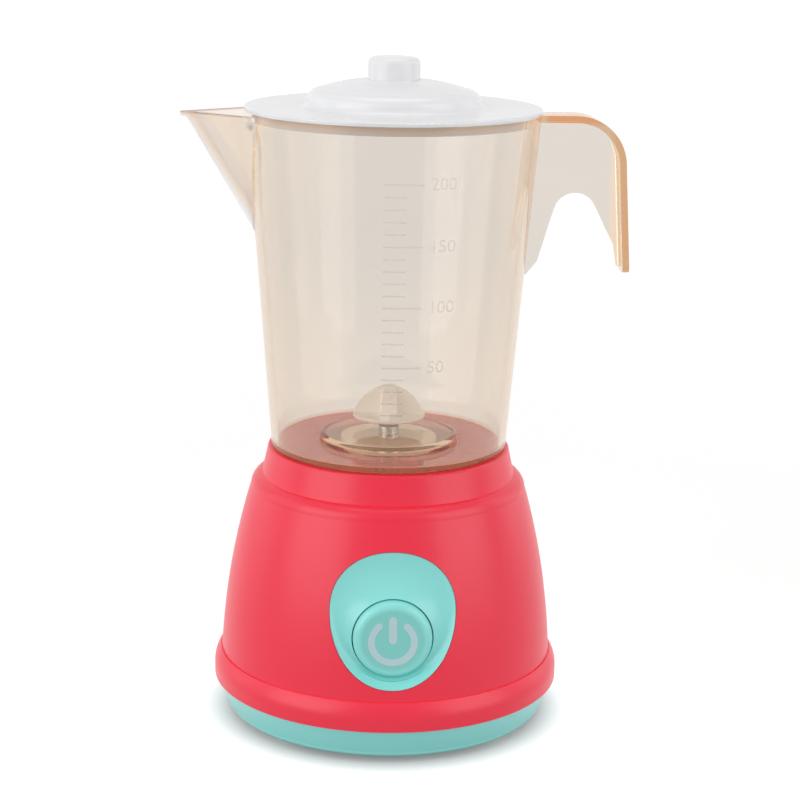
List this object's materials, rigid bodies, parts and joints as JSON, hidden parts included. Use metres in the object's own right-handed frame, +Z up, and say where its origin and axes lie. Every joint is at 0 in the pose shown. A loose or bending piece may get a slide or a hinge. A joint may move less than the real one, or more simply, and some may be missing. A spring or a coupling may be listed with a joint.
{
  "type": "toy blender",
  "caption": "Toy blender: conical housing with a push button on a flared base plate, clear tapered jug with spout and handle, rotor inside, and a knobbed lid.",
  "frame": {"origin": "on the upright axis, in the plane of the four feet", "axes": "+Z up the axis, -Y towards the push button, -X towards the spout, +X towards the handle"},
  "size_m": [0.1334, 0.1062, 0.2008],
  "materials": {
    "coral": "glossy moulded plastic, solid colour",
    "mint": "glossy moulded plastic, solid colour",
    "clear_amber": "clear plastic with a faint amber tint",
    "white": "glossy white moulded plastic",
    "cream": "cream moulded plastic, slightly translucent",
    "inner_white": "plain moulded plastic",
    "switch_black": "black moulded plastic",
    "steel": "plated steel",
    "contact_metal": "nickel-plated spring sheet",
    "motor_steel": "plated can",
    "cell_jacket": "printed jacket",
    "lead_red": "insulated wire",
    "lead_yellow": "insulated wire",
    "lead_black": "insulated wire"
  },
  "bodies": {
    "base": {"base_housing": "coral", "base_plate": "mint", "battery_door": "mint", "battery_door_screw": "steel", "base_screws": "steel", "button_bezel": "mint", "cell_front": "cell_jacket", "cell_rear": "cell_jacket", "contact_positive": "contact_metal", "contact_negative": "contact_metal", "contact_bridge": "contact_metal", "push_switch": "switch_black", "switch_bracket": "inner_white", "switch_screws": "steel", "motor_can": "motor_steel", "motor_end_cap": "inner_white", "motor_bracket": "steel", "motor_screws": "steel", "lead_battery_switch": "lead_red", "lead_switch_motor": "lead_yellow", "lead_motor_battery": "lead_black"},
    "button": {"power_button": "mint", "switch_plunger": "inner_white"},
    "drive": {"motor_shaft": "steel", "drive_arm": "inner_white"},
    "jug": {"jug": "clear_amber", "shaft_bush": "steel"},
    "rotor": {"rotor": "cream", "rotor_shaft": "steel", "driven_disc": "cream", "thrust_washer": "steel"},
    "lid": {"lid": "white"}
  },
  "joints": [
    {"name": "button_press", "type": "slide", "parent": "base", "child": "button", "axis": [0, 1, 0], "range_m": [0, 0.002], "stiffness_N_per_m": 800},
    {"name": "drive_spin", "type": "hinge", "parent": "base", "child": "drive", "pos_m": [0, 0, 0.0818], "axis": [0, 0, 1], "continuous": true},
    {"name": "jug_lift", "type": "slide", "parent": "base", "child": "jug", "axis": [0, 0, 1], "range_m": [0, 0.06]},
    {"name": "rotor_spin", "type": "hinge", "parent": "jug", "child": "rotor", "pos_m": [0, 0, 0.0924], "axis": [0, 0, 1], "continuous": true},
    {"name": "lid_lift", "type": "slide", "parent": "jug", "child": "lid", "axis": [0, 0, 1], "range_m": [0, 0.03]}
  ],
  "couplings": [
    {"joint": "rotor_spin", "follows": "drive_spin", "ratio": 1}
  ]
}
